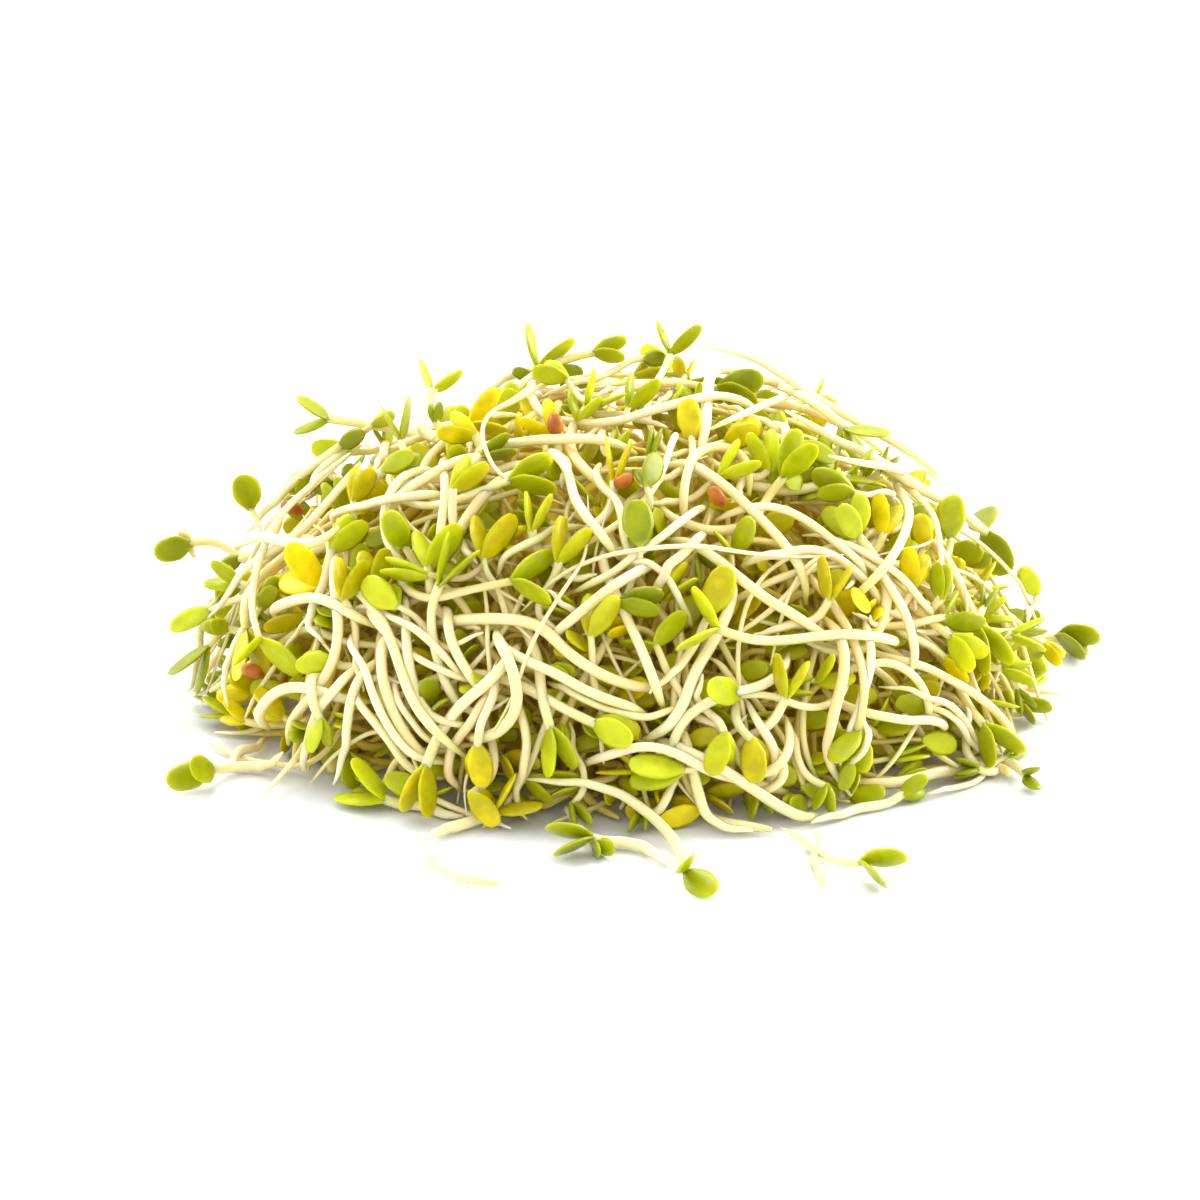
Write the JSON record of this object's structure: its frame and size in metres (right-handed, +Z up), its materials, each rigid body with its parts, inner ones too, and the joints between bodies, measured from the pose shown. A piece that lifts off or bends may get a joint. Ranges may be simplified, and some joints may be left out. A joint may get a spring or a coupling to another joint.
{
  "type": "pile of sprouts",
  "caption": "Low heap of pale curved alfalfa sprouts with small green seed leaves and a few loose seed coats, lying on a table.",
  "frame": {"origin": "middle of the heap's flat underside, on the table", "axes": "+X across the heap to the right as seen in the picture, +Y away from the viewer, +Z up"},
  "size_m": [0.094, 0.0884, 0.0345],
  "materials": {
    "sprout": "pale cream stems and roots, moist and slightly translucent, with green seed leaves",
    "matted_core": "shaded inner stems matted together, moist",
    "seed_coat": "thin orange-brown seed husk, slightly shiny"
  },
  "bodies": {
    "root": {"centre_cross": "sprout", "centre_slant": "sprout", "front_arch": "sprout", "front_fork": "sprout", "front_right_low": "sprout", "heads_far_left": "sprout", "heads_front_low": "sprout", "heads_left": "sprout", "heads_left_edge": "sprout", "heads_left_high": "sprout", "heads_middle_left": "sprout", "heads_right": "sprout", "heads_right_high": "sprout", "heads_right_low": "sprout", "heads_right_top": "sprout", "heads_top": "sprout", "heads_top_left": "sprout", "heads_top_right": "sprout", "left_drape_lower": "sprout", "left_drape_upper": "sprout", "left_hanging": "sprout", "left_top_cross": "sprout", "left_white": "sprout", "matted_core": "matted_core", "right_bar": "sprout", "right_fall": "sprout", "right_foot": "sprout", "seed_coat_front": "seed_coat", "seed_coat_left": "seed_coat", "seed_coat_low_left": "seed_coat", "seed_coat_middle": "seed_coat", "seed_coat_top": "seed_coat", "stray_far_right": "sprout", "stray_front_arch": "sprout", "stray_front_pair": "sprout", "stray_front_small": "sprout", "stray_left_front": "sprout", "stray_left_pair": "sprout", "stray_right_front": "sprout", "top_hook": "sprout", "top_right_band": "sprout", "top_sweep": "sprout", "tuft_01": "sprout", "tuft_02": "sprout", "tuft_03": "sprout", "tuft_04": "sprout", "tuft_05": "sprout", "tuft_06": "sprout", "tuft_07": "sprout", "tuft_08": "sprout", "tuft_09": "sprout", "tuft_10": "sprout"}
  },
  "joints": []
}
